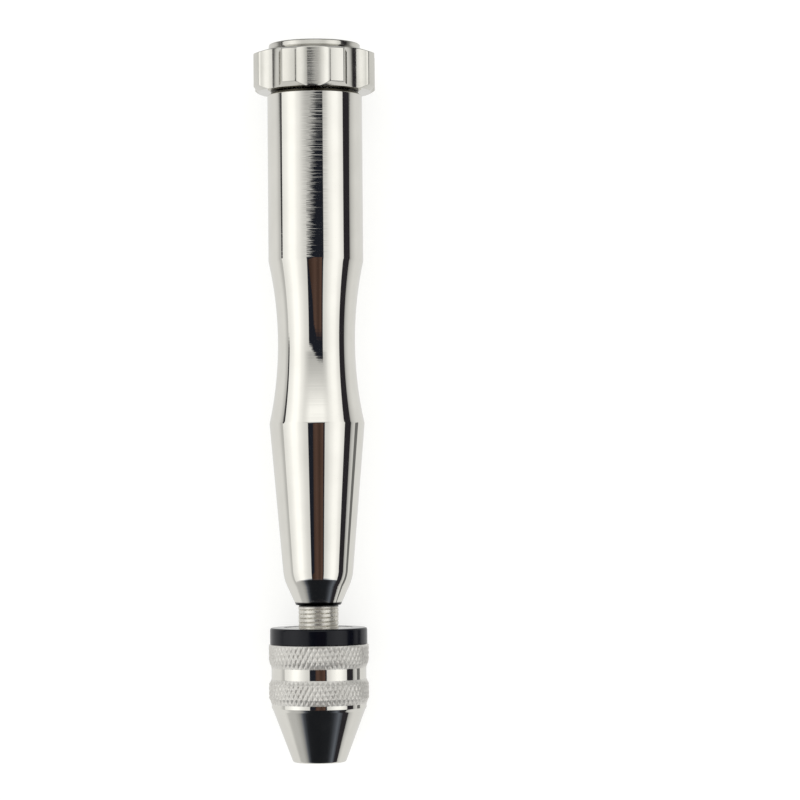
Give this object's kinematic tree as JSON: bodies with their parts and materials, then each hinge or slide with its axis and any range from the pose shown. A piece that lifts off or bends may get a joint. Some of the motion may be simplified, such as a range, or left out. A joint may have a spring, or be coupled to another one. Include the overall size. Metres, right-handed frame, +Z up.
{
  "type": "pin vise drill",
  "caption": "Plated hand drill with a keyless three-jaw chuck, a waisted round handle and a fluted swivelling palm cap for turning small bits by hand.",
  "frame": {"origin": "on the tool's axis at the nose face of the chuck, at the mouth of the bit bore", "axes": "+X along the axis from the nose to the palm cap, +Z up with the tool lying on two lands of the cap"},
  "size_m": [0.1255, 0.0212, 0.0212],
  "materials": {
    "plated_handle": "polished nickel and chrome plate",
    "plated_cap": "polished nickel and chrome plate",
    "plated_sleeve": "plated, knurled bands and polished cone",
    "plated_thread": "plated cut thread",
    "black_collar": "gloss black",
    "chuck_steel": "turned steel",
    "jaw_steel": "ground hardened steel",
    "hardened_steel": "hardened steel",
    "bearing_steel": "polished bearing steel",
    "washer_steel": "stamped steel",
    "plug_brass": "turned brass",
    "cage_brass": "stamped brass",
    "screw_steel": "blackened steel"
  },
  "bodies": {
    "handle": {"handle_body": "plated_handle", "threaded_stud": "plated_thread", "chuck_body": "chuck_steel", "rear_collar": "black_collar", "thrust_washer": "hardened_steel", "sleeve_snap_ring": "hardened_steel", "end_plug": "plug_brass", "lower_race": "bearing_steel", "dust_washer": "washer_steel"},
    "sleeve": {"chuck_sleeve": "plated_sleeve", "nut_half_a": "hardened_steel", "nut_half_b": "hardened_steel"},
    "jaw_1": {"jaw_1": "jaw_steel"},
    "jaw_2": {"jaw_2": "jaw_steel"},
    "jaw_3": {"jaw_3": "jaw_steel"},
    "cage": {"ball_cage": "cage_brass", "bearing_balls": "bearing_steel"},
    "cap": {"swivel_cap": "plated_cap", "upper_race": "bearing_steel", "swivel_screw": "screw_steel", "spring_washer": "hardened_steel"}
  },
  "joints": [
    {"name": "cap_swivel", "type": "hinge", "parent": "handle", "child": "cap", "pos_m": [0.1205, 0, 0], "axis": [1, 0, 0], "continuous": true},
    {"name": "cage_spin", "type": "hinge", "parent": "handle", "child": "cage", "pos_m": [0.1152, 0, 0], "axis": [1, 0, 0], "continuous": true},
    {"name": "sleeve_turn", "type": "hinge", "parent": "handle", "child": "sleeve", "pos_m": [0.0102, 0, 0], "axis": [1, 0, 0], "range_deg": [0, 2572.6]},
    {"name": "jaw_1_slide", "type": "slide", "parent": "handle", "child": "jaw_1", "axis": [-0.9744, 0, -0.225], "range_m": [0, 0.00733]},
    {"name": "jaw_2_slide", "type": "slide", "parent": "handle", "child": "jaw_2", "axis": [-0.9744, 0.1948, 0.1125], "range_m": [0, 0.00733]},
    {"name": "jaw_3_slide", "type": "slide", "parent": "handle", "child": "jaw_3", "axis": [-0.9744, -0.1948, 0.1125], "range_m": [0, 0.00733]}
  ],
  "couplings": [
    {"joint": "cage_spin", "follows": "cap_swivel", "ratio": 0.5},
    {"joint": "jaw_1_slide", "follows": "sleeve_turn", "m_per_rad": 0.00016334},
    {"joint": "jaw_2_slide", "follows": "sleeve_turn", "m_per_rad": 0.00016334},
    {"joint": "jaw_3_slide", "follows": "sleeve_turn", "m_per_rad": 0.00016334}
  ]
}
